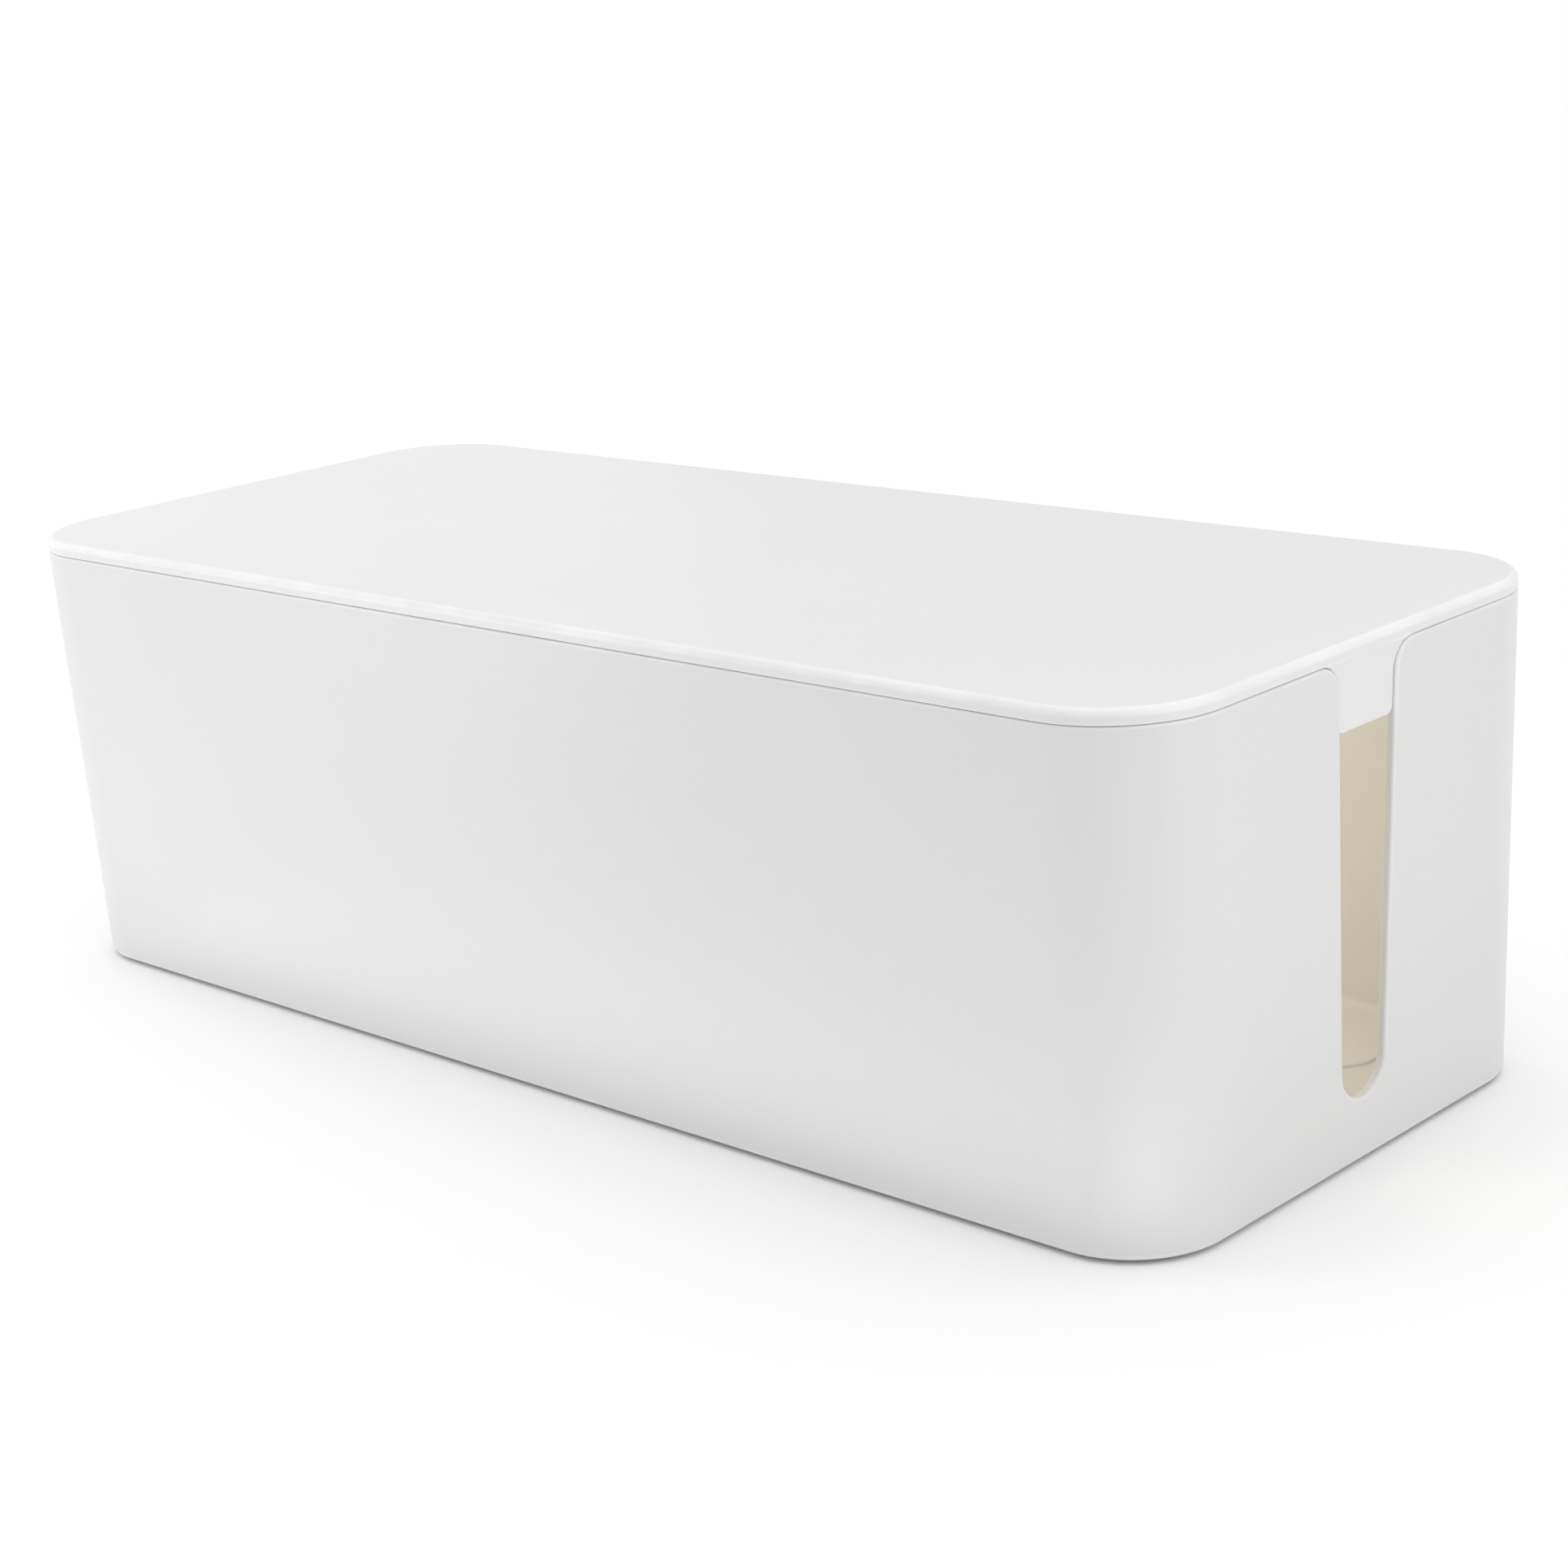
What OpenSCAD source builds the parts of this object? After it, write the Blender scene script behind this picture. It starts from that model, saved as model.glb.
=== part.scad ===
// Cable-management box: an open tub with a cable slot in each end wall, a
// lift-off lid whose end tabs close the tops of the slots, and four rubber
// feet, each held in a recess under the floor by a disc of tape.
// X runs along the box, Y across it and Z up. The origin is on the surface
// that the box stands on, under the middle of the box.

/* [Overall] */
// Length of the box over the lid
box_l = 410; // [360:1:450]
// Width of the box over the lid
box_w = 168; // [150:1:190]
// Height from the soles of the feet to the top of the lid
box_h = 128; // [110:1:150]
// Radius of the upright corners at the rim, seen from above
corner_r = 28; // [22:0.5:34]
// How far each wall leans in from the rim down to the base
wall_lean = 3.5; // [1:0.5:5]

/* [Tub] */
// Thickness of the walls
wall_t = 2.5; // [2:0.1:3]
// Thickness of the floor
floor_t = 2.5; // [2:0.1:3.5]
// Bevel along the outer edge of the rim
rim_bevel = 0.7; // [0.3:0.1:1]
// Bevel along the outer edge of the base
base_bevel = 0.8; // [0.3:0.1:1.5]
// Fillet strip between the floor and the walls, inside
inner_bevel = 2; // [1:0.5:4]

/* [Cable slots] */
// Width of a slot where its round bottom starts
slot_w = 17.5; // [14:0.5:22]
// Height of the lowest point of a slot above the surface
slot_bottom = 17; // [12:0.5:25]
// Angle of each side of a slot from the upright
slot_flare = 1.7; // [1:0.1:3]
// Radius of the rounded shoulders at the top of a slot
shoulder_r = 7; // [4:0.5:9]

/* [Lid] */
// Height of the edge of the lid
edge_h = 4; // [3.5:0.5:6]
// Thickness of the plate inside the edge
plate_t = 2.5; // [2:0.1:3]
// Radius of the soft upper edge
soft_r = 2; // [1:0.1:2.4]
// Bevel along the lower outer edge
lid_bevel = 0.6; // [0.3:0.1:1]
// Depth of the locating rim below the edge
locate_h = 4; // [3:0.5:6]
// Thickness of the locating rim
locate_t = 1.8; // [1.5:0.1:2.5]
// Clearance between the locating rim and the walls
locate_gap = 0.6; // [0.4:0.1:1]

/* [Lid tabs] */
// Height of the gap-closing tabs, measured down from the top of the lid
tab_drop = 21; // [15:0.5:30]
// Thickness of a tab
tab_t = 4; // [3:0.5:5]
// Clearance between a tab and the sides of its slot
tab_gap = 0.5; // [0.3:0.1:1]
// How far the face of a tab lies behind the outside of the end wall
tab_inset = 0.2; // [0:0.1:0.5]
// Bevel along the lower outer edge of a tab
tab_bevel = 1.8; // [0.5:0.1:2.5]

/* [Feet] */
// Radius of a foot
foot_r = 8; // [6:0.5:10]
// Thickness of a foot
foot_t = 2; // [1.5:0.1:3]
// How far the feet stand out below the base
foot_proud = 1; // [0.5:0.1:1.5]
// Bevel round the sole of a foot
foot_bevel = 0.4; // [0.2:0.1:0.6]
// Thickness of the tape above a foot
tape_t = 0.5; // [0.3:0.1:0.8]
// Clearance round a foot in its recess
foot_gap = 0.4; // [0.2:0.1:0.6]
// Width of the boss round the recess of a foot
boss_wall = 2; // [1:0.5:4]
// How much thinner than the floor the boss is above a recess
boss_relief = 0.8; // [0.4:0.1:0.8]
// Distance of the feet from the ends of the box
foot_inset_x = 42; // [35:1:80]
// Distance of the feet from the sides of the box
foot_inset_y = 36; // [34:1:50]

/* [Hidden] */
$fn = 96;

// Shared heights
base_z = foot_proud;
floor_z = base_z + floor_t;
rim_z = box_h - edge_h;
plate_z = box_h - plate_t;
locate_z = rim_z - locate_h;
tab_z = box_h - tab_drop;

// The axes of the upright corners, which all corner surfaces share
axis_x = box_l / 2 - corner_r;
axis_y = box_w / 2 - corner_r;

// The outer radius of a corner at a height, and the lean as an angle
lean_angle = atan(wall_lean / (rim_z - base_z));
function outer_r(z) = corner_r - (rim_z - z) * tan(lean_angle);
function inner_r(z) = outer_r(z) - wall_t;

// The recess that holds a foot, and the boss inside the tub that backs it
recess_r = foot_r + foot_gap;
recess_z = foot_t + tape_t;
boss_r = recess_r + boss_wall;
boss_z = recess_z + floor_t - boss_relief;
foot_x = box_l / 2 - foot_inset_x;
foot_y = box_w / 2 - foot_inset_y;

// Overlap between shapes that are fused, run-out of shapes that cut, and how
// far an arc reaches past the line that it would only touch, to cross it cleanly
fuse = 1;
clear = 5;
cross = 0.02;

white = [0.93, 0.93, 0.92];
rubber = [0.36, 0.36, 0.37];
tape = [0.86, 0.84, 0.78];

// A solid whose plan is a rectangle with rounded corners. The children are one
// half-section: x counts outwards from the corner axes, and y is the height.
module rounded_solid(z0, z1) {
    for (sx = [-1, 1], sy = [-1, 1])
        translate([sx * axis_x, sy * axis_y, 0]) rotate_extrude() children();
    rotate([90, 0, 0]) linear_extrude(2 * axis_y, center = true)
        full_section(axis_x, z0, z1) children();
    rotate([90, 0, 90]) linear_extrude(2 * axis_x, center = true)
        full_section(axis_y, z0, z1) children();
}

// Two half-sections back to back, with the space between them filled
module full_section(axis, z0, z1) {
    for (side = [0, 1])
        mirror([side, 0]) translate([axis, 0]) children();
    translate([-axis - fuse, z0]) square([2 * (axis + fuse), z1 - z0]);
}

// Half-section of the outside of the tub
module tub_outer_section() {
    polygon([
        [0, base_z],
        [outer_r(base_z) - base_bevel, base_z],
        [outer_r(base_z + base_bevel), base_z + base_bevel],
        [outer_r(rim_z - rim_bevel), rim_z - rim_bevel],
        [outer_r(rim_z) - rim_bevel, rim_z],
        [0, rim_z],
    ]);
}

// Half-section of the space inside the tub
module tub_inner_section() {
    polygon([
        [0, floor_z],
        [inner_r(floor_z) - inner_bevel, floor_z],
        [inner_r(floor_z + inner_bevel), floor_z + inner_bevel],
        [inner_r(rim_z + clear), rim_z + clear],
        [0, rim_z + clear],
    ]);
}

// The round bottom of a slot runs smoothly into its sides
slot_bottom_r = slot_w / 2 / cos(slot_flare);
slot_centre_z = slot_bottom + slot_bottom_r;
slot_side_z = slot_centre_z - slot_bottom_r * sin(slot_flare);
function slot_half_w(z) = slot_w / 2 + (z - slot_side_z) * tan(slot_flare);

// The shoulder arcs run smoothly into the sides of the slot and the top of the rim
shoulder_z = rim_z - shoulder_r + cross;
shoulder_y = slot_half_w(shoulder_z) + shoulder_r / cos(slot_flare) - cross;
shoulder_start_z = shoulder_z + shoulder_r * sin(slot_flare);

// The sides and shoulders of a slot, made narrower on each side by a gap.
// x is across the box and y is the height.
module slot_sides(gap, z0, z1) {
    polygon([
        [gap - slot_half_w(z0), z0],
        [slot_half_w(z0) - gap, z0],
        [slot_half_w(z1) - gap, z1],
        [gap - slot_half_w(z1), z1],
    ]);
    for (side = [0, 1])
        mirror([side, 0]) difference() {
            translate([0, shoulder_start_z]) square([shoulder_y, z1 - shoulder_start_z]);
            translate([shoulder_y, shoulder_z]) circle(shoulder_r + gap);
        }
}

// Both slots at once, cut from end to end through the walls
module slot_cut() {
    rotate([90, 0, 90]) linear_extrude(box_l + 2 * clear, center = true) {
        translate([0, slot_centre_z]) circle(slot_bottom_r + cross);
        slot_sides(0, slot_side_z, rim_z + clear);
    }
}

// Copies of its children at one of the four feet
module at_foot(side_x, side_y) {
    translate([side_x * foot_x, side_y * foot_y, 0]) children();
}

module tub() {
    color(white) difference() {
        union() {
            difference() {
                rounded_solid(base_z, rim_z) tub_outer_section();
                rounded_solid(floor_z, rim_z + clear) tub_inner_section();
                slot_cut();
            }
            for (sx = [-1, 1], sy = [-1, 1])
                at_foot(sx, sy) translate([0, 0, floor_z - fuse])
                    cylinder(h = boss_z - floor_z + fuse, r = boss_r);
        }
        for (sx = [-1, 1], sy = [-1, 1])
            at_foot(sx, sy) translate([0, 0, base_z - clear])
                cylinder(h = recess_z - base_z + clear, r = recess_r);
    }
}

// Half-section of the plate and the edge of the lid, with its soft upper edge
module lid_section() {
    polygon([
        [0, rim_z],
        [corner_r - lid_bevel, rim_z],
        [corner_r, rim_z + lid_bevel],
        [corner_r, box_h - soft_r],
        [0, box_h - soft_r],
    ]);
    square_to(corner_r - soft_r, rim_z + fuse, box_h);
    translate([corner_r - soft_r, box_h - soft_r]) circle(soft_r);
}

// A rectangle from the corner axis out to a radius, between two heights
module square_to(radius, z0, z1) {
    translate([0, z0]) square([radius, z1 - z0]);
}

// Side view of the tab at the +X end: x is along the box, y is the height
module tab_side() {
    face_top = box_l / 2 - tab_inset;
    face_lean = (rim_z - tab_z) * tan(lean_angle);
    polygon([
        [face_top - tab_t, rim_z + fuse],
        [face_top, rim_z + fuse],
        [face_top, rim_z],
        [face_top - face_lean, tab_z + tab_bevel],
        [face_top - face_lean - tab_bevel, tab_z],
        [face_top - tab_t, tab_z],
    ]);
}

// Both tabs, as wide as their slots less the gap
module tabs() {
    intersection() {
        rotate([90, 0, 90]) linear_extrude(box_l + 2 * clear, center = true)
            slot_sides(tab_gap, tab_z, rim_z + fuse);
        for (end = [0, 1])
            mirror([end, 0, 0]) rotate([90, 0, 0])
                linear_extrude(2 * axis_y, center = true) tab_side();
    }
}

module lid() {
    locate_r = inner_r(locate_z) - locate_gap;
    color(white) union() {
        difference() {
            union() {
                rounded_solid(rim_z + fuse, box_h) lid_section();
                rounded_solid(locate_z, rim_z + fuse)
                    square_to(locate_r, locate_z, rim_z + fuse);
            }
            rounded_solid(locate_z - clear, plate_z)
                square_to(locate_r - locate_t, locate_z - clear, plate_z);
        }
        tabs();
    }
}

// A foot, with a bevel round its sole
module foot(side_x, side_y) {
    color(rubber) at_foot(side_x, side_y) rotate_extrude() polygon([
        [0, 0],
        [foot_r - foot_bevel, 0],
        [foot_r, foot_bevel],
        [foot_r, foot_t],
        [0, foot_t],
    ]);
}

// The disc of tape between a foot and the top of its recess
module foot_tape(side_x, side_y) {
    color(tape) at_foot(side_x, side_y) translate([0, 0, foot_t])
        cylinder(h = tape_t, r = foot_r);
}

tub();
lid();
foot(-1, -1);  // foot_front_left
foot(1, -1);  // foot_front_right
foot(-1, 1);  // foot_back_left
foot(1, 1);  // foot_back_right
foot_tape(-1, -1);  // foot_tape_front_left
foot_tape(1, -1);  // foot_tape_front_right
foot_tape(-1, 1);  // foot_tape_back_left
foot_tape(1, 1);  // foot_tape_back_right
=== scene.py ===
"""A white cable-management box: an open tub, a lift-off lid and four stuck-on feet.

Shapes are worked out in millimetres and turned into metres when a mesh is made.
The tub and the lid are the same in all four quarters, so each is built as the
quarter with X and Y above zero and mirrored.
"""
import math

import bmesh
import bpy
from mathutils import Matrix, Vector


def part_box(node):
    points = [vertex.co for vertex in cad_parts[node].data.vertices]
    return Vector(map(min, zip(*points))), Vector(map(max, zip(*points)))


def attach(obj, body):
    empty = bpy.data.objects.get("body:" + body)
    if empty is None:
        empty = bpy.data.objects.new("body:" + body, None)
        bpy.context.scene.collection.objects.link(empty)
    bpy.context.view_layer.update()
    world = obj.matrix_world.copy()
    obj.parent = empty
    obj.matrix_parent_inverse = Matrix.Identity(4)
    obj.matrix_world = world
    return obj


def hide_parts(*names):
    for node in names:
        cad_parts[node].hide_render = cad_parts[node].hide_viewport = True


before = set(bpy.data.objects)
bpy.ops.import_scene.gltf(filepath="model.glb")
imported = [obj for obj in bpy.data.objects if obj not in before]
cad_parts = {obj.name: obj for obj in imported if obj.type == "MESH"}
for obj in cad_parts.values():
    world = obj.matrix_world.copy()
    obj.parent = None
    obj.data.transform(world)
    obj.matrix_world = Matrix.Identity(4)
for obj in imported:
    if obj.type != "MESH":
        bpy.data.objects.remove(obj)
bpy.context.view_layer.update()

MM = 0.001


def box_mm(node):
    """The lowest and highest corner of a CAD node, in millimetres."""
    low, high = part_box(node)
    return low / MM, high / MM


# ---- Sizes that the frame gives ----
TUB_LOW, TUB_HIGH = box_mm("tub")
LID_LOW, LID_HIGH = box_mm("lid")
BASE_Z = TUB_LOW.z
RIM_Z = TUB_HIGH.z
TOP_Z = LID_HIGH.z
TAB_Z = LID_LOW.z
FOOT_LOW, FOOT_HIGH = box_mm("foot_back_right")
FOOT_X, FOOT_Y = (FOOT_LOW.x + FOOT_HIGH.x) / 2, (FOOT_LOW.y + FOOT_HIGH.y) / 2
FOOT_R = (FOOT_HIGH.x - FOOT_LOW.x) / 2
RECESS_Z = box_mm("foot_tape_back_right")[1].z

# ---- Sizes of the tub ----
CORNER_R = 28.0
AXIS_X, AXIS_Y = LID_HIGH.x - CORNER_R, LID_HIGH.y - CORNER_R
WALL_LEAN = 3.5
WALL_T = 2.5
FLOOR_T = 2.5
FLOOR_Z = BASE_Z + FLOOR_T
RIM_OUTER_R = 0.8
RIM_INNER_R = 0.8
BASE_R = 1.6
INNER_R = 2.5

SLOT_W = 17.5
SLOT_BOTTOM = 17.0
SLOT_FLARE = math.radians(1.7)
SHOULDER_R = 7.0

RECESS_GAP = 0.4
RECESS_R = FOOT_R + RECESS_GAP
BOSS_WALL_T = 2.0
BOSS_ROOF_T = 1.7
BOSS_R = RECESS_R + BOSS_WALL_T
BOSS_Z = RECESS_Z + BOSS_ROOF_T
SMALL_R = 0.35

# ---- Sizes of the lid ----
PLATE_T = 2.5
PLATE_Z = TOP_Z - PLATE_T
SOFT_R = 2.0
CROWN = 0.2

# The gap between the lid's lower edge and the tub's rim goes in by SHADOW_DEPTH.
# Behind it the lid's land lies a hair above the rim.
GAP = 0.16
SHADOW_DEPTH = 0.34
LAND_GAP = 0.02
LAND_Z = RIM_Z + LAND_GAP
LID_EDGE_R = 0.3
LID_EDGE_Z = RIM_Z + GAP

LOCATE_H = 4.0
LOCATE_Z = RIM_Z - LOCATE_H
LOCATE_T = 1.8
LOCATE_GAP = 0.6

TAB_T = 4.0
TAB_INSET = 0.2
TAB_EDGE_R = 2.0
TAB_EDGE_FLATTEN = 0.25
TAB_CORNER_R = 2.3

# A soft crease sets the tab back below the lid's edge, and its face then bends over
# to the lean of the tub's walls.
CREASE_H = 1.3
CREASE_DEPTH = 0.3
FACE_BEND_H = 5.0
FACE_BEND_Z = LID_EDGE_Z + LID_EDGE_R

# ---- How finely round shapes are divided ----
CORNER_STEPS = 32
EDGE_STEPS = 6
SMALL_STEPS = 3
SLOT_STEPS = 14
SHOULDER_STEPS = 10
FOOT_STEPS = 64
SIDE_STEPS = 4
CROWN_STEPS = 6

# ---- How a mesh is joined, shaded and marked ----
WELD = 0.004
SHARP = math.radians(32)
QUARTERS = [(1, 1), (-1, 1), (-1, -1), (1, -1)]

# The painted edge highlight, and the lower roughness that goes with it, grow from none to full as
# the bends round a vertex add up from one angle to the other.
GENTLE_BEND = math.radians(21)
EDGE_BEND = math.radians(30)

# A surface gets the painted glow colour between these heights and past this depth in the wall.
# This warm, lighter colour stands in for light that shines through the plastic.
INSIDE_LOW_Z = FLOOR_Z - 0.6
INSIDE_HIGH_Z = TOP_Z - 1.0
INSIDE_DEPTH = 1.6
INSIDE_BLEND = 0.8


def steps(start, end, count):
    """Evenly spaced values from start to end, both included."""
    return [start + (end - start) * i / count for i in range(count + 1)]


def smooth(t):
    """0 below 0, 1 above 1, and a smooth step between."""
    t = min(max(t, 0.0), 1.0)
    return t * t * (3 - 2 * t)


# ---- Stations: places along the plan outline of the box ----
# A station is a point of the inner rectangle and the direction outwards from it.
def end_station(y):
    return (AXIS_X, y, 1.0, 0.0)


def corner_station(angle):
    return (AXIS_X, AXIS_Y, math.cos(angle), math.sin(angle))


def side_station(x):
    return (x, AXIS_Y, 0.0, 1.0)


def at(station, r, z):
    """The point at distance r outwards from a station, at height z."""
    x, y, dx, dy = station
    return Vector((x + r * dx, y + r * dy, z))


AROUND = [corner_station(a) for a in steps(0, math.pi / 2, CORNER_STEPS)]
AROUND += [side_station(x) for x in steps(AXIS_X, 0, SIDE_STEPS)[1:]]
END_MIDDLE = end_station(0)

LEAN = WALL_LEAN / (RIM_Z - BASE_Z)


def outer_r(z):
    """Distance of the outside of the tub from the inner rectangle."""
    return CORNER_R - (RIM_Z - z) * LEAN


def wall_at(station, z, depth):
    """A point of the tub's wall, at a depth in from its outside."""
    return at(station, outer_r(z) - depth, z)


# ---- The outline of a cable slot: half of it, from the bottom up ----
SLOT_BOTTOM_R = SLOT_W / 2 / math.cos(SLOT_FLARE)
SLOT_CENTRE_Z = SLOT_BOTTOM + SLOT_BOTTOM_R
SLOT_SIDE_Z = SLOT_CENTRE_Z - SLOT_BOTTOM_R * math.sin(SLOT_FLARE)
SHOULDER_Z = RIM_Z - SHOULDER_R


def slot_half_w(z):
    return SLOT_W / 2 + (z - SLOT_SIDE_Z) * math.tan(SLOT_FLARE)


SHOULDER_Y = (slot_half_w(SHOULDER_Z + SHOULDER_R * math.sin(SLOT_FLARE))
              + SHOULDER_R * math.cos(SLOT_FLARE))


def arc(y, z, radius, angles, outward=1):
    """Points (y, z, normal y, normal z) on an arc; outward -1 turns the normals in."""
    return [
        (y + radius * math.cos(a), z + radius * math.sin(a),
         outward * math.cos(a), outward * math.sin(a))
        for a in angles
    ]


def slot_outline():
    """The edge of the slot. The normals point out of the wall, into the slot."""
    bottom = steps(-math.pi / 2, -SLOT_FLARE, SLOT_STEPS)
    shoulder = steps(math.pi - SLOT_FLARE, math.pi / 2, SHOULDER_STEPS)
    return (arc(0, SLOT_CENTRE_Z, SLOT_BOTTOM_R, bottom, outward=-1)
            + arc(SHOULDER_Y, SHOULDER_Z, SHOULDER_R, shoulder))


def tab_outline():
    """The edge of a tab, with the gap to the slot taken off. Normals point out of the tab."""
    corner_z = TAB_Z + TAB_CORNER_R
    side_y = slot_half_w(corner_z) - GAP / math.cos(SLOT_FLARE)
    corner_y = side_y - TAB_CORNER_R * math.cos(SLOT_FLARE)
    radius = SHOULDER_R + GAP
    meet = math.pi - math.asin((LOCATE_Z - SHOULDER_Z) / radius)
    lower = steps(math.pi - SLOT_FLARE, meet, SMALL_STEPS)
    upper = steps(meet, math.pi / 2, SHOULDER_STEPS)
    return ([(0.0, TAB_Z, 0.0, -1.0)]
            + arc(corner_y, corner_z, TAB_CORNER_R, steps(-math.pi / 2, -SLOT_FLARE, EDGE_STEPS))
            + arc(SHOULDER_Y, SHOULDER_Z, radius, lower + upper[1:], outward=-1))


# ---- A mesh built from grids of points ----
class Shell:
    """A mesh in millimetres. Every grid goes in with its mirror images."""

    def __init__(self):
        self.bm = bmesh.new()

    def grid(self, rows, quarters=QUARTERS):
        """Faces between rows of points."""
        for sx, sy in quarters:
            made = [[self.bm.verts.new((sx * p.x, sy * p.y, p.z)) for p in row] for row in rows]
            for low, high in zip(made, made[1:]):
                for corners in zip(low, low[1:], high[1:], high):
                    self.bm.faces.new(corners)

    def disc(self, ring, quarters=QUARTERS):
        """One flat face inside a closed ring of points."""
        for sx, sy in quarters:
            self.bm.faces.new([self.bm.verts.new((sx * p.x, sy * p.y, p.z)) for p in ring[:-1]])

    def weld(self):
        bmesh.ops.remove_doubles(self.bm, verts=self.bm.verts, dist=WELD)

    def fill_level(self, z):
        """Closes the flat area between the open edges at a height."""
        edges = [
            e for e in self.bm.edges
            if len(e.link_faces) == 1 and all(abs(v.co.z - z) < WELD for v in e.verts)
        ]
        bmesh.ops.triangle_fill(self.bm, use_beauty=True, edges=edges, normal=(0, 0, 1))

    def finish(self, name):
        """The mesh as an object in metres, smooth but for its sharp edges."""
        bm = self.bm
        self.weld()
        bmesh.ops.dissolve_degenerate(bm, dist=WELD / 4, edges=bm.edges)
        bmesh.ops.recalc_face_normals(bm, faces=bm.faces)
        mark_edge_highlight(bm)
        mark_inside_painted_glow(bm)
        for face in bm.faces:
            face.smooth = True
        for edge in bm.edges:
            edge.smooth = len(edge.link_faces) != 2 or edge.calc_face_angle() < SHARP
        bmesh.ops.scale(bm, vec=(MM, MM, MM), verts=bm.verts)
        mesh = bpy.data.meshes.new(name)
        bm.to_mesh(mesh)
        bm.free()
        piece = bpy.data.objects.new(name, mesh)
        bpy.context.scene.collection.objects.link(piece)
        weighted = piece.modifiers.new("flat_faces_stay_flat", "WEIGHTED_NORMAL")
        weighted.keep_sharp = True
        weighted.weight = 100
        return piece


def mark_edge_highlight(bm):
    """Marks rounded outer edges in the attribute edge_highlight_and_smoothing. It carries a
    painted highlight along them and a slightly lower roughness.
    """
    layer = bm.verts.layers.float.new("edge_highlight_and_smoothing")
    for vert in bm.verts:
        bends = [e.calc_face_angle_signed(0.0) for e in vert.link_edges if len(e.link_faces) == 2]
        vert[layer] = min(1.0, max(0.0, sum(bends) - GENTLE_BEND) / (EDGE_BEND - GENTLE_BEND))


def mark_inside_painted_glow(bm):
    """Marks the surfaces that look into the box in the attribute inside. It carries a painted
    glow: a warm, lighter colour for light shining through the walls.
    """
    layer = bm.verts.layers.float.new("inside")
    for vert in bm.verts:
        x, y, z = vert.co
        over = math.hypot(max(abs(x) - AXIS_X, 0.0), max(abs(y) - AXIS_Y, 0.0))
        depth = outer_r(z) - over
        within = INSIDE_LOW_Z < z < INSIDE_HIGH_Z
        vert[layer] = smooth((depth - INSIDE_DEPTH) / INSIDE_BLEND) if within else 0.0


# ---- The tub ----
def round_section(radius, start_depth=0.0, outer=True):
    """(inset, depth) pairs round the outer or inner edge of a lip."""
    turns = steps(0, math.pi / 2, EDGE_STEPS)
    if outer:
        return [(radius * (1 - math.sin(a)), start_depth + radius * (1 - math.cos(a)))
                for a in turns]
    return [(radius * (1 - math.sin(a)), start_depth - radius * (1 - math.cos(a)))
            for a in reversed(turns)]


def lip_point(edge, inset, depth):
    """A point of an end wall at an inset from the slot's edge and a depth in the wall."""
    y, z, ny, nz = edge
    return wall_at(end_station(y - ny * inset), z - nz * inset, depth)


def tub_lip(shell, outline):
    """The rounded edge that runs along the rim and down round the slots."""
    section = round_section(RIM_OUTER_R) + round_section(RIM_INNER_R, WALL_T, outer=False)
    shell.grid([
        [lip_point(edge, inset, depth) for edge in outline]
        + [wall_at(s, RIM_Z - inset, depth) for s in AROUND]
        for inset, depth in section
    ])


def tub_skin(shell, outline, depth, inset, low_z):
    """One face of the walls, from a height up to the rounded edge of the lip."""
    edges = [(y - ny * inset, z - nz * inset) for y, z, ny, nz in outline]
    levels = [low_z] + [z for y, z in edges]
    shell.grid([[wall_at(s, z, depth) for s in AROUND] for z in levels])
    shell.grid(
        [[wall_at(end_station(y), z, depth), wall_at(AROUND[0], z, depth)]
         for y, z in [(0.0, low_z)] + edges]
    )


def tub_foot_of_wall(shell, depth, radius, level):
    """The round between a face of the walls and the floor."""
    centre_r = outer_r(level + radius) - depth - radius
    shell.grid([
        [at(s, centre_r + radius * math.cos(a), level + radius + radius * math.sin(a))
         for s in [END_MIDDLE] + AROUND]
        for a in steps(0, -math.pi / 2, EDGE_STEPS)
    ])


def ring(radius, z, x=FOOT_X, y=FOOT_Y):
    """A closed ring of points about an upright axis."""
    return [
        Vector((x + radius * math.cos(a), y + radius * math.sin(a), z))
        for a in steps(0, 2 * math.pi, FOOT_STEPS)
    ]


def round_profile(r, z, radius, start, end):
    """(r, z) points on an arc about the given one, with angles in degrees."""
    return [
        (r + radius * math.cos(math.radians(a)), z + radius * math.sin(math.radians(a)))
        for a in steps(start, end, SMALL_STEPS)
    ]


def tub_foot_recesses(shell):
    """The recesses for the feet, and the bosses above them on the inside of the floor."""
    recess = (round_profile(RECESS_R + SMALL_R, BASE_Z + SMALL_R, SMALL_R, 270, 180)
              + round_profile(RECESS_R - SMALL_R, RECESS_Z - SMALL_R, SMALL_R, 0, 90))
    boss = (round_profile(BOSS_R + SMALL_R, FLOOR_Z + SMALL_R, SMALL_R, 270, 180)
            + round_profile(BOSS_R - SMALL_R, BOSS_Z - SMALL_R, SMALL_R, 0, 90))
    for profile in (recess, boss):
        rings = [ring(r, z) for r, z in profile]
        shell.grid(rings)
        shell.disc(rings[-1])


def make_tub():
    shell = Shell()
    outline = slot_outline()
    tub_lip(shell, outline)
    tub_skin(shell, outline, 0.0, RIM_OUTER_R, BASE_Z + BASE_R)
    tub_skin(shell, outline, WALL_T, RIM_INNER_R, FLOOR_Z + INNER_R)
    tub_foot_of_wall(shell, 0.0, BASE_R, BASE_Z)
    tub_foot_of_wall(shell, WALL_T, INNER_R, FLOOR_Z)
    tub_foot_recesses(shell)
    shell.weld()
    shell.fill_level(BASE_Z)
    shell.fill_level(FLOOR_Z)
    return shell.finish("tub_shell")


# ---- The lid ----
LOCATE_R = outer_r(LOCATE_Z) - WALL_T - LOCATE_GAP
LOCATE_IN_R = LOCATE_R - LOCATE_T
TAB_BACK_R = CORNER_R - TAB_INSET - TAB_T


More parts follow.
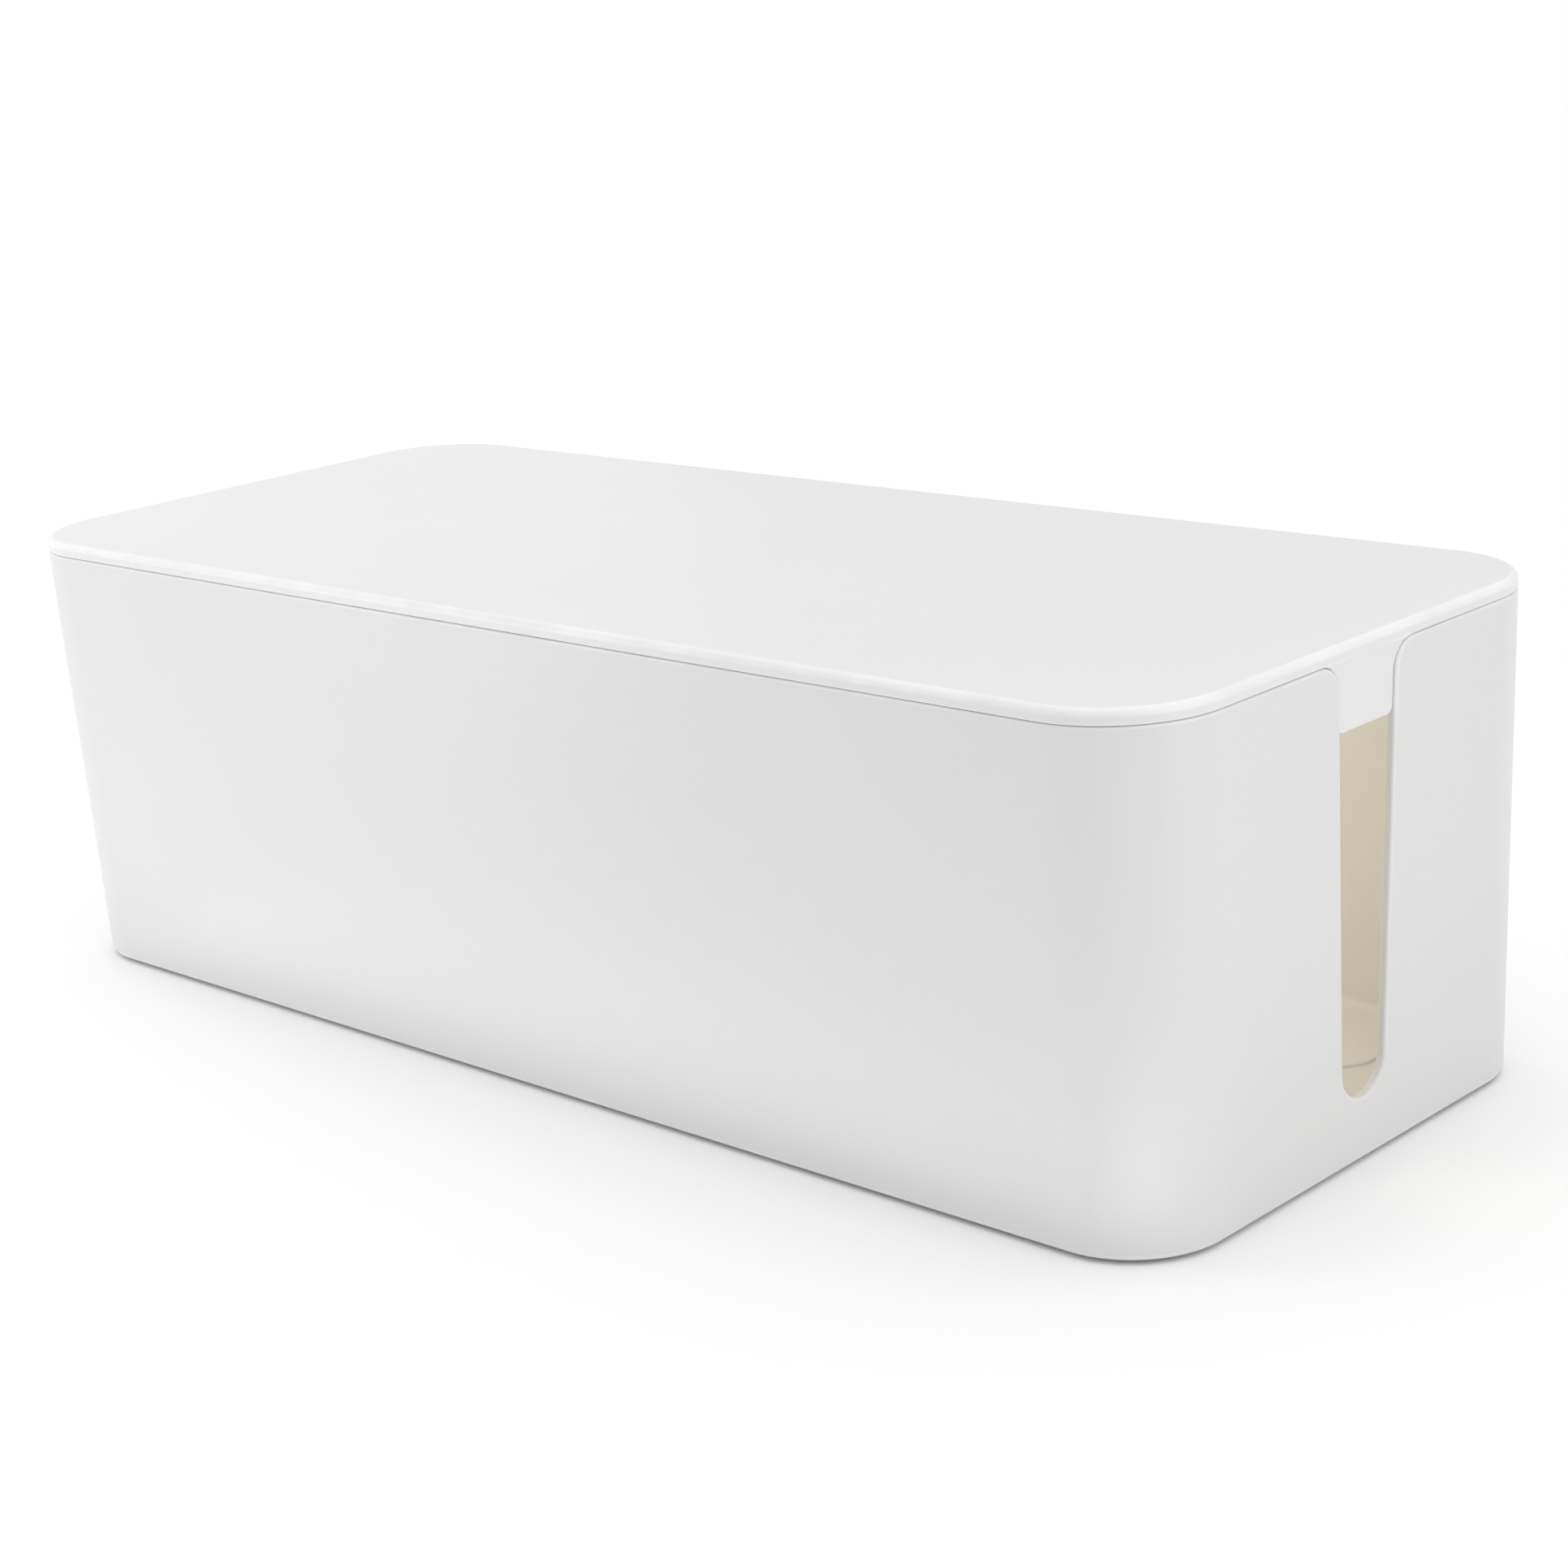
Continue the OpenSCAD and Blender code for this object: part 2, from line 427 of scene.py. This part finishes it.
def face_r(z):
    """Distance of the lid's outer face, down over the crease and the leaning tab."""
    below = max(0.0, FACE_BEND_Z - z)
    bent = min(below, FACE_BEND_H)
    lean = LEAN * (bent * bent / (2 * FACE_BEND_H) + below - bent)
    return CORNER_R - (TAB_INSET + CREASE_DEPTH) * smooth(below / CREASE_H) - lean


def lid_top(shell):
    """The edge, the soft upper edge and the slightly crowned top."""
    stations = [END_MIDDLE, end_station(SHOULDER_Y)] + AROUND
    soft_z = TOP_Z - CROWN - SOFT_R
    soft_r = CORNER_R - SOFT_R
    profile = [(CORNER_R, FACE_BEND_Z)]
    profile += [(soft_r + SOFT_R * math.cos(a), soft_z + SOFT_R * math.sin(a))
                for a in steps(0, math.pi / 2, EDGE_STEPS)]
    profile += [(r, TOP_Z - CROWN * (r / soft_r) ** 2)
                for r in steps(soft_r, 0, CROWN_STEPS)[1:]]
    shell.grid([[at(s, r, z) for s in stations] for r, z in profile])


def edge_radius(edge):
    """The rounding of the lid's lower edge: large round the tab, small along the rim."""
    y, z, ny, nz = edge
    share = smooth((z - SHOULDER_Z) / (LID_EDGE_Z - SHOULDER_Z))
    return TAB_EDGE_R + (LID_EDGE_R - TAB_EDGE_R) * share


def edge_depth(edge):
    """How deep that rounding goes: the tab's is flatter than it is wide."""
    radius = edge_radius(edge)
    return LID_EDGE_R + (radius - LID_EDGE_R) * TAB_EDGE_FLATTEN


def tab_point(edge, inset, r=None, depth=0.0):
    """A point at an inset from a tab's edge, at distance r or at a depth in its face."""
    y, z, ny, nz = edge
    z_in = z - nz * inset
    return at(end_station(y - ny * inset), face_r(z_in) - depth if r is None else r, z_in)


def lid_lower_edge(shell, outline):
    """The rounded lower edge, round the tabs and along the rim."""
    rows = []
    for a in steps(0, math.pi / 2, EDGE_STEPS):
        row = []
        for edge in outline:
            radius, depth = edge_radius(edge), edge_depth(edge)
            row.append(tab_point(edge, radius * (1 - math.sin(a)),
                                 depth=depth * (1 - math.cos(a))))
        for s in AROUND:
            row.append(at(s, CORNER_R - LID_EDGE_R * (1 - math.cos(a)),
                          LID_EDGE_Z + LID_EDGE_R * (1 - math.sin(a))))
        rows.append(row)
    shell.grid(rows)
    return rows[-1]


def land_drop(edge):
    """How far the land is below the lower edge: it comes down as the shoulder levels out."""
    y, z, ny, nz = edge
    starts = 0.8
    levelled = smooth((-nz - starts) / (1 - starts)) if z > SHOULDER_Z else 0.0
    return (LID_EDGE_Z - LAND_Z) * levelled


def lid_land(shell, outline, edge_row):
    """From the lower edge in to the locating rim, with the dark gap above the tub's rim.
    Each row stays a small step behind the one before, round the tab as well."""
    gap_r = CORNER_R - SHADOW_DEPTH
    step = 0.02
    behind = [(edge, p.x - AXIS_X - step) for edge, p in zip(outline, edge_row)]
    rows = [edge_row]
    rows.append([tab_point(edge, 0, min(gap_r, limit)) for edge, limit in behind]
                + [at(s, gap_r, LID_EDGE_Z) for s in AROUND])
    for r in (gap_r - SMALL_R, LOCATE_R):
        rows.append([tab_point(edge, -land_drop(edge), min(r, limit - step))
                     for edge, limit in behind]
                    + [at(s, r, LAND_Z) for s in AROUND])
    shell.grid(rows)
    return rows[-1]


def lid_locating_rim(shell, outline, land_row):
    """The locating rim, and the sides and the back of the tabs that it runs into."""
    meet = next(i for i, e in enumerate(outline) if abs(e[1] - LOCATE_Z) < WELD)
    tab, rest = outline[:meet], outline[meet:]
    low = LOCATE_Z
    cut = low + SMALL_R
    rows = [land_row]
    rows.append([tab_point(e, 0, LOCATE_R) for e in tab]
                + [at(end_station(e[0]), LOCATE_R, min(cut, e[1])) for e in rest]
                + [at(s, LOCATE_R, cut) for s in AROUND])
    for r, inset in ((LOCATE_R - SMALL_R, 0), (TAB_BACK_R + SMALL_R, 0), (TAB_BACK_R, SMALL_R)):
        rows.append([tab_point(e, inset, r) for e in tab]
                    + [at(end_station(e[0]), r, low) for e in rest]
                    + [at(s, r, low) for s in AROUND])
    shell.grid(rows)
    back = rows[-1]
    ladder = [[Vector((p.x, 0, p.z)), p] for p in back[1:meet + 1]]
    shell.grid(ladder)
    inner = [END_MIDDLE] + [end_station(e[0]) for e in rest] + AROUND
    under = [[at(s, TAB_BACK_R, low) for s in inner],
             [at(s, LOCATE_IN_R + SMALL_R, low) for s in inner],
             [at(s, LOCATE_IN_R, cut) for s in inner]]
    fillet_r = LOCATE_IN_R - SMALL_R
    under += [[at(s, fillet_r + SMALL_R * math.cos(a), PLATE_Z - SMALL_R + SMALL_R * math.sin(a))
               for s in inner] for a in steps(0, math.pi / 2, SMALL_STEPS)]
    shell.grid(under)


def make_lid():
    shell = Shell()
    outline = tab_outline()
    lid_top(shell)
    edge_row = lid_lower_edge(shell, outline)
    front = [tab_point(e, edge_radius(e)) for e in outline[1:]]
    shell.grid([[Vector((p.x, 0, p.z)), p] for p in front])
    land_row = lid_land(shell, outline, edge_row)
    lid_locating_rim(shell, outline, land_row)
    shell.weld()
    shell.fill_level(TOP_Z)
    shell.fill_level(PLATE_Z)
    return shell.finish("lid_shell")


# ---- The feet ----
def make_foot(name, side_x, side_y):
    """A die-moulded rubber disc with a soft edge and a shallow dish in its sole."""
    x, y = side_x * FOOT_X, side_y * FOOT_Y
    sole_r, top_bevel = 0.5, 0.25
    dish_r, dish_h = FOOT_R * 0.55, 0.25
    profile = [(dish_r * share, dish_h * (1 - share ** 4)) for share in (0.35, 0.7, 0.9, 1.0)]
    profile += round_profile(FOOT_R - sole_r, sole_r, sole_r, 270, 360)
    profile += [(FOOT_R, FOOT_HIGH.z - top_bevel), (FOOT_R - top_bevel, FOOT_HIGH.z)]
    shell = Shell()
    rings = [ring(r, z, x, y) for r, z in profile]
    here = [(1, 1)]
    shell.grid(rings, quarters=here)
    shell.disc(rings[0], quarters=here)
    shell.disc(rings[-1], quarters=here)
    return shell.finish(name)


# ---- Materials ----
class Nodes:
    """A short way to build a material's node tree."""

    def __init__(self, name):
        self.material = bpy.data.materials.new(name)
        self.material.use_nodes = True
        self.tree = self.material.node_tree
        self.shader = self.tree.nodes["Principled BSDF"]
        self.coords = self.add("ShaderNodeTexCoord").outputs["Object"]

    def add(self, kind, **settings):
        node = self.tree.nodes.new(kind)
        for key, value in settings.items():
            setattr(node, key, value)
        return node

    def link(self, output, socket):
        self.tree.links.new(output, socket)

    def noise(self, scale, detail=2.0, rough=0.5):
        node = self.add("ShaderNodeTexNoise")
        node.inputs["Scale"].default_value = scale
        node.inputs["Detail"].default_value = detail
        node.inputs["Roughness"].default_value = rough
        self.link(self.coords, node.inputs["Vector"])
        return node.outputs["Fac"]

    def remap(self, value, low, high, to_low, to_high):
        node = self.add("ShaderNodeMapRange")
        self.link(value, node.inputs["Value"])
        node.inputs["From Min"].default_value = low
        node.inputs["From Max"].default_value = high
        node.inputs["To Min"].default_value = to_low
        node.inputs["To Max"].default_value = to_high
        return node.outputs["Result"]

    def math(self, operation, a, b):
        node = self.add("ShaderNodeMath", operation=operation)
        for socket, value in zip(node.inputs, (a, b)):
            if isinstance(value, (int, float)):
                socket.default_value = value
            else:
                self.link(value, socket)
        return node.outputs[0]

    def mix(self, factor, a, b):
        node = self.add("ShaderNodeMix", data_type="RGBA")
        self.link(factor, node.inputs["Factor"])
        for key, value in (("A", a), ("B", b)):
            socket = next(s for s in node.inputs if s.name == key and s.type == "RGBA")
            if isinstance(value, tuple):
                socket.default_value = (*value, 1.0)
            else:
                self.link(value, socket)
        return next(s for s in node.outputs if s.type == "RGBA")

    def bump(self, height, distance, under=None):
        node = self.add("ShaderNodeBump")
        node.inputs["Distance"].default_value = distance
        node.inputs["Strength"].default_value = 1.0
        self.link(height, node.inputs["Height"])
        if under is not None:
            self.link(under, node.inputs["Normal"])
        return node.outputs["Normal"]

    def attribute(self, name):
        return self.add("ShaderNodeAttribute", attribute_name=name).outputs["Fac"]


TUB_COLOUR, TUB_SHADE = (0.712, 0.712, 0.708), (0.70, 0.70, 0.696)
LID_COLOUR, LID_SHADE = (0.758, 0.758, 0.754), (0.746, 0.746, 0.742)
# Painted glow: a warm colour, lighter than the outside, on the surfaces inside the box. It stands
# in for light that shines through the plastic walls.
INSIDE_PAINTED_GLOW = (0.93, 0.918, 0.885)
# Painted highlight: rounded edges are made this much lighter, and this much less rough.
EDGE_HIGHLIGHT_GAIN = 1.14
EDGE_SMOOTHING = 0.02


def satin_plastic(name, colour, shade):
    """White moulded plastic with a fine spark-eroded grain and a faint orange peel. Its rounded
    edges have a painted highlight and a slightly lower roughness, and inside the box it has a
    painted warm glow."""
    n = Nodes(name)
    cloudy = n.remap(n.noise(9.0, 3.0), 0.3, 0.7, 0.0, 1.0)
    mottled = n.remap(n.noise(700.0, 2.0), 0.3, 0.7, 0.0, 0.5)
    blend = n.math("ADD", n.math("MULTIPLY", cloudy, 0.6), n.math("MULTIPLY", mottled, 0.4))
    tone = n.mix(blend, shade, colour)
    patchy = n.remap(n.noise(60.0, 4.0), 0.35, 0.65, 0.5, 1.0)
    # Painted highlight on the rounded edges, broken up by noise. The same mask also lowers the
    # roughness there.
    highlight_and_smoothing = n.math("MULTIPLY", n.attribute("edge_highlight_and_smoothing"), patchy)
    outside = n.mix(highlight_and_smoothing, tone, tuple(c * EDGE_HIGHLIGHT_GAIN for c in colour))
    # The surfaces inside the box get the painted glow colour, for light that shines through the
    # plastic.
    n.link(n.mix(n.attribute("inside"), outside, INSIDE_PAINTED_GLOW), n.shader.inputs["Base Color"])
    rough = n.remap(n.noise(35.0, 4.0), 0.3, 0.7, 0.30, 0.35)
    smoother = n.math("MULTIPLY", highlight_and_smoothing, EDGE_SMOOTHING)
    n.link(n.math("SUBTRACT", rough, smoother), n.shader.inputs["Roughness"])
    peel = n.bump(n.noise(130.0, 1.0), 0.00003)
    grain = n.bump(n.noise(2600.0, 2.0), 0.000012, under=peel)
    n.link(grain, n.shader.inputs["Normal"])
    n.shader.inputs["IOR"].default_value = 1.52
    return n.material


def foot_rubber():
    """Matte grey rubber with dust in its pores."""
    n = Nodes("foot_rubber_grey")
    dust = n.remap(n.noise(900.0, 4.0), 0.45, 0.7, 0.0, 0.6)
    n.link(n.mix(dust, (0.105, 0.105, 0.11), (0.2, 0.195, 0.185)), n.shader.inputs["Base Color"])
    n.link(n.remap(n.noise(400.0, 3.0), 0.3, 0.7, 0.68, 0.85), n.shader.inputs["Roughness"])
    n.link(n.bump(n.noise(2200.0, 3.0), 0.00004), n.shader.inputs["Normal"])
    return n.material


def tape_foam():
    """Cream foam tape with open cells."""
    n = Nodes("foot_tape_foam")
    cells = n.noise(3000.0, 2.0)
    walls = n.remap(cells, 0.35, 0.65, 0.0, 1.0)
    n.link(n.mix(walls, (0.58, 0.54, 0.44), (0.74, 0.71, 0.62)), n.shader.inputs["Base Color"])
    n.link(n.remap(n.noise(500.0, 2.0), 0.3, 0.7, 0.8, 0.95), n.shader.inputs["Roughness"])
    n.link(n.bump(cells, 0.0001), n.shader.inputs["Normal"])
    return n.material


def paint(piece, material):
    """Gives the piece one material on its object's slot."""
    if not piece.material_slots:
        piece.data.materials.append(None)
    for slot in piece.material_slots:
        slot.link = "OBJECT"
        slot.material = material


# ---- Camera, light and floor: metres and degrees ----
CAMERA_AZIMUTH, CAMERA_ELEVATION, CAMERA_ROLL = 44.21, 16.22, -3.85
CAMERA_DISTANCE, CAMERA_ASIDE, CAMERA_ABOVE = 0.84521, 0.01529, -0.00247
LENS_MM, SENSOR_MM = 71.423, 36.0
LIGHT_AIM_Z = 0.06
GLOW_COLOUR = (1.0, 0.93, 0.81)
GLOW_BELOW_RIM = 4.0 * MM


def toward(azimuth, elevation):
    """The direction at an azimuth from the front, to the right, and an elevation."""
    a, e = math.radians(azimuth), math.radians(elevation)
    return Vector((math.sin(a) * math.cos(e), -math.cos(a) * math.cos(e), math.sin(e)))


def aim_camera():
    """The camera at the photo's viewing angle."""
    azimuth, roll = math.radians(CAMERA_AZIMUTH), math.radians(CAMERA_ROLL)
    back = toward(CAMERA_AZIMUTH, CAMERA_ELEVATION)
    level_right = Vector((math.cos(azimuth), math.sin(azimuth), 0))
    level_up = back.cross(level_right)
    right = level_right * math.cos(roll) + level_up * math.sin(roll)
    up = level_up * math.cos(roll) - level_right * math.sin(roll)
    middle = Vector((0, 0, (BASE_Z + TOP_Z) / 2 * MM))
    place = middle + back * CAMERA_DISTANCE + right * CAMERA_ASIDE + up * CAMERA_ABOVE
    turn = Matrix((right, up, back)).transposed().to_4x4()
    data = bpy.data.cameras.new("camera")
    data.lens = LENS_MM
    data.sensor_width = SENSOR_MM
    camera = bpy.data.objects.new("camera", data)
    bpy.context.scene.collection.objects.link(camera)
    camera.matrix_world = Matrix.Translation(place) @ turn
    bpy.context.scene.camera = camera


def area_light(name, size, power, place):
    """A rectangular area light that faces down."""
    data = bpy.data.lights.new(name, "AREA")
    data.shape = "RECTANGLE"
    data.size, data.size_y = size
    data.energy = power
    light = bpy.data.objects.new(name, data)
    light.location = place
    bpy.context.scene.collection.objects.link(light)
    return light


def soft_light(name, azimuth, elevation, distance, size, power):
    """A light that faces the box from a direction."""
    back = toward(azimuth, elevation)
    light = area_light(name, size, power, back * distance + Vector((0, 0, LIGHT_AIM_Z)))
    light.rotation_mode = "QUATERNION"
    light.rotation_quaternion = (-back).to_track_quat("-Z", "Y")


def floor_panel(name, x, y, azimuth, size, power):
    """A light that lies on the floor, turned by an azimuth, shines up and isn't seen."""
    light = area_light(name, size, power, (x, y, 1.0 * MM))
    light.rotation_euler = (math.pi, 0, math.radians(azimuth))
    light.visible_camera = False


def lid_glow(size, power):
    """Stands for the light that shines through the plastic. It moves with the lid, and
    neither it nor its reflection is seen."""
    light = area_light("lid_glow", size, power, (0, 0, LOCATE_Z * MM - GLOW_BELOW_RIM))
    light.data.color = GLOW_COLOUR
    light.visible_camera = False
    light.visible_glossy = False
    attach(light, "lid")


def make_floor():
    """A wide, plain, nearly white floor."""
    n = Nodes("studio_floor_white")
    white = n.mix(n.noise(3.0, 2.0), (0.93, 0.93, 0.93), (0.95, 0.95, 0.95))
    n.link(white, n.shader.inputs["Base Color"])
    n.shader.inputs["Roughness"].default_value = 0.9
    n.shader.inputs["Specular IOR Level"].default_value = 0.1
    bm = bmesh.new()
    bmesh.ops.create_circle(bm, cap_ends=True, radius=30.0, segments=64)
    mesh = bpy.data.meshes.new("studio_floor")
    bm.to_mesh(mesh)
    bm.free()
    floor = bpy.data.objects.new("studio_floor", mesh)
    bpy.context.scene.collection.objects.link(floor)
    paint(floor, n.material)


# The light that comes from all round, and its soft patches. Each patch is its azimuth, its
# elevation, how narrow it is, and how much brighter or darker than the rest.
SURROUND = 0.72
PATCHES = (
    (0, 90, 2.0, 0.77),
    (0, 8, 2.5, -0.35),
    (-90, 8, 8.0, 0.4),
)


def light_world():
    """Pale surroundings, brighter overhead and to the left, and darker in front."""
    world = bpy.data.worlds.new("studio")
    world.use_nodes = True
    nodes, links = world.node_tree.nodes, world.node_tree.links
    background = nodes["Background"]
    background.inputs["Color"].default_value = (1.0, 1.0, 1.0, 1.0)
    direction = nodes.new("ShaderNodeTexCoord").outputs["Generated"]
    total = nodes.new("ShaderNodeValue").outputs[0]
    total.default_value = SURROUND
    for azimuth, elevation, focus, strength in PATCHES:
        facing = nodes.new("ShaderNodeVectorMath")
        facing.operation = "DOT_PRODUCT"
        facing.inputs[1].default_value = toward(azimuth, elevation)
        links.new(direction, facing.inputs[0])
        value = facing.outputs["Value"]
        for operation, number in (("MAXIMUM", 0.0), ("POWER", focus), ("MULTIPLY", strength)):
            step = nodes.new("ShaderNodeMath")
            step.operation = operation
            step.inputs[1].default_value = number
            links.new(value, step.inputs[0])
            value = step.outputs[0]
        add = nodes.new("ShaderNodeMath")
        links.new(total, add.inputs[0])
        links.new(value, add.inputs[1])
        total = add.outputs[0]
    links.new(total, background.inputs["Strength"])
    bpy.context.scene.world = world


def light_studio():
    """Soft, nearly even light, with weak lights that shape the walls and the near corner."""
    light_world()
    bpy.context.scene.view_settings.view_transform = "Standard"
    soft_light("strip_left", -42, 8, 0.5, (0.12, 0.4), 0.35)
    soft_light("strip_right", 84, 8, 0.5, (0.12, 0.4), 0.12)
    soft_light("soft_far_left", -120, 8, 1.2, (0.6, 0.6), 0.17)
    floor_panel("glow_front", -0.01, -0.129, 90, (0.06, 0.36), 0.032)
    floor_panel("glow_corner", 0.224, -0.112, 40, (0.06, 0.06), 0.008)
    lid_glow((0.33, 0.13), 0.122)


# ---- Assembly ----
aim_camera()

tub_white = satin_plastic("tub_satin_white", TUB_COLOUR, TUB_SHADE)
lid_white = satin_plastic("lid_satin_white", LID_COLOUR, LID_SHADE)
rubber = foot_rubber()
foam = tape_foam()

tub = make_tub()
paint(tub, tub_white)
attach(tub, "tub")
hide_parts("tub")

lid = make_lid()
paint(lid, lid_white)
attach(lid, "lid")
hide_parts("lid")

for end, side_x in (("left", -1), ("right", 1)):
    for face, side_y in (("front", -1), ("back", 1)):
        place = f"{face}_{end}"
        foot = make_foot(f"rubber_foot_{place}", side_x, side_y)
        paint(foot, rubber)
        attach(foot, "tub")
        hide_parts(f"foot_{place}")
        paint(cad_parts[f"foot_tape_{place}"], foam)

make_floor()
light_studio()
